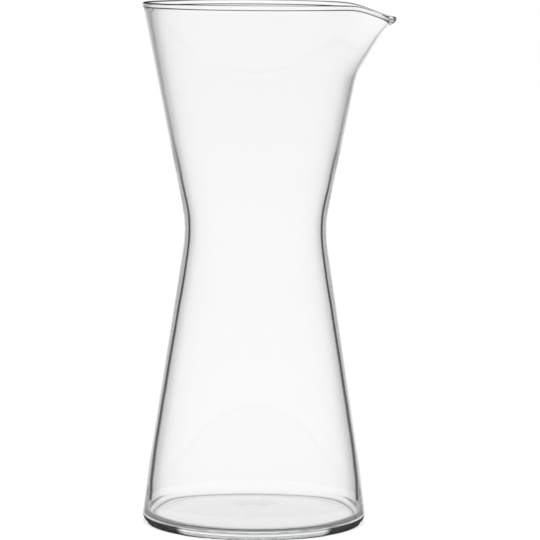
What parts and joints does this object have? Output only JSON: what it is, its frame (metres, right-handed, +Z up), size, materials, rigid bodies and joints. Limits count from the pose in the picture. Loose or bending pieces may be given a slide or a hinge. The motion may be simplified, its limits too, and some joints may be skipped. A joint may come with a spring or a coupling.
{
  "type": "carafe",
  "caption": "Clear glass hourglass carafe with a wide mouth, a drawn pouring lip and a thick flat foot, for serving water and other cold drinks.",
  "frame": {"origin": "centre of the flat ring that the carafe stands on", "axes": "+Z up along the axis of the glass, +X towards the pouring lip, +Y to the side"},
  "size_m": [0.1117, 0.1005, 0.23],
  "materials": {
    "clear_glass": "clear soda-lime glass, fire-polished, glossy"
  },
  "bodies": {
    "root": {"glass_body": "clear_glass"}
  },
  "joints": []
}
